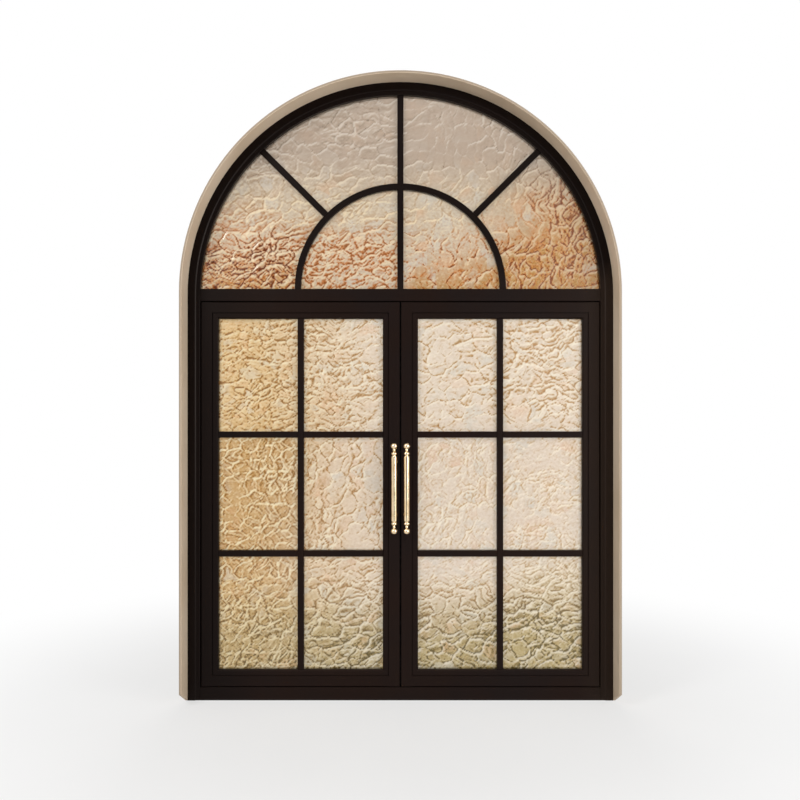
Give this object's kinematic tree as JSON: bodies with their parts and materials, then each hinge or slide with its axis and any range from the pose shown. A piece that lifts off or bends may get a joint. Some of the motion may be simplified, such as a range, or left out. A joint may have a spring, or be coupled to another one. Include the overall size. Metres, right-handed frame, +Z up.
{
  "type": "arched double door",
  "caption": "Arched double door in painted steel: hinged glazed leaves with turned brass pulls under a fixed half-round fanlight, set in a painted reveal lining.",
  "frame": {"origin": "middle of the threshold's underside, at mid depth of the frame", "axes": "+X to the right seen from the front, +Y through the opening from front to back, +Z up"},
  "size_m": [2.364, 0.2974, 3.4118],
  "materials": {
    "frame_paint": "satin",
    "textured_glass": "rippled",
    "brass": "polished",
    "lining_paint": "painted"
  },
  "bodies": {
    "frame": {"left_jamb": "frame_paint", "right_jamb": "frame_paint", "arch_head": "frame_paint", "transom_rail": "frame_paint", "threshold": "frame_paint", "fanlight_glass": "textured_glass", "fanlight_mullion": "frame_paint", "fanlight_ring": "frame_paint", "fanlight_left_spoke": "frame_paint", "fanlight_right_spoke": "frame_paint", "arch_bead": "frame_paint", "transom_bead": "frame_paint", "left_hinge_pins": "frame_paint", "right_hinge_pins": "frame_paint", "reveal_lining_left": "lining_paint", "reveal_lining_right": "lining_paint", "reveal_lining_arch": "lining_paint"},
    "left_leaf": {"left_hinge_stile": "frame_paint", "left_meeting_stile": "frame_paint", "left_top_rail": "frame_paint", "left_bottom_rail": "frame_paint", "left_glass": "textured_glass", "left_upright_bar": "frame_paint", "left_cross_bars": "frame_paint", "left_side_beads": "frame_paint", "left_end_beads": "frame_paint", "left_front_pull": "brass", "left_back_pull": "brass", "left_pull_posts": "brass", "left_hinge_sleeves": "frame_paint"},
    "right_leaf": {"right_hinge_stile": "frame_paint", "right_meeting_stile": "frame_paint", "right_top_rail": "frame_paint", "right_bottom_rail": "frame_paint", "right_glass": "textured_glass", "right_upright_bar": "frame_paint", "right_cross_bars": "frame_paint", "right_side_beads": "frame_paint", "right_end_beads": "frame_paint", "right_front_pull": "brass", "right_back_pull": "brass", "right_pull_posts": "brass", "right_hinge_sleeves": "frame_paint"}
  },
  "joints": [
    {"name": "left_leaf_swing", "type": "hinge", "parent": "frame", "child": "left_leaf", "pos_m": [-1.117, 0.046, 0], "axis": [0, 0, 1], "range_deg": [0, 100]},
    {"name": "right_leaf_swing", "type": "hinge", "parent": "frame", "child": "right_leaf", "pos_m": [1.117, 0.046, 0], "axis": [0, 0, -1], "range_deg": [0, 100]}
  ]
}
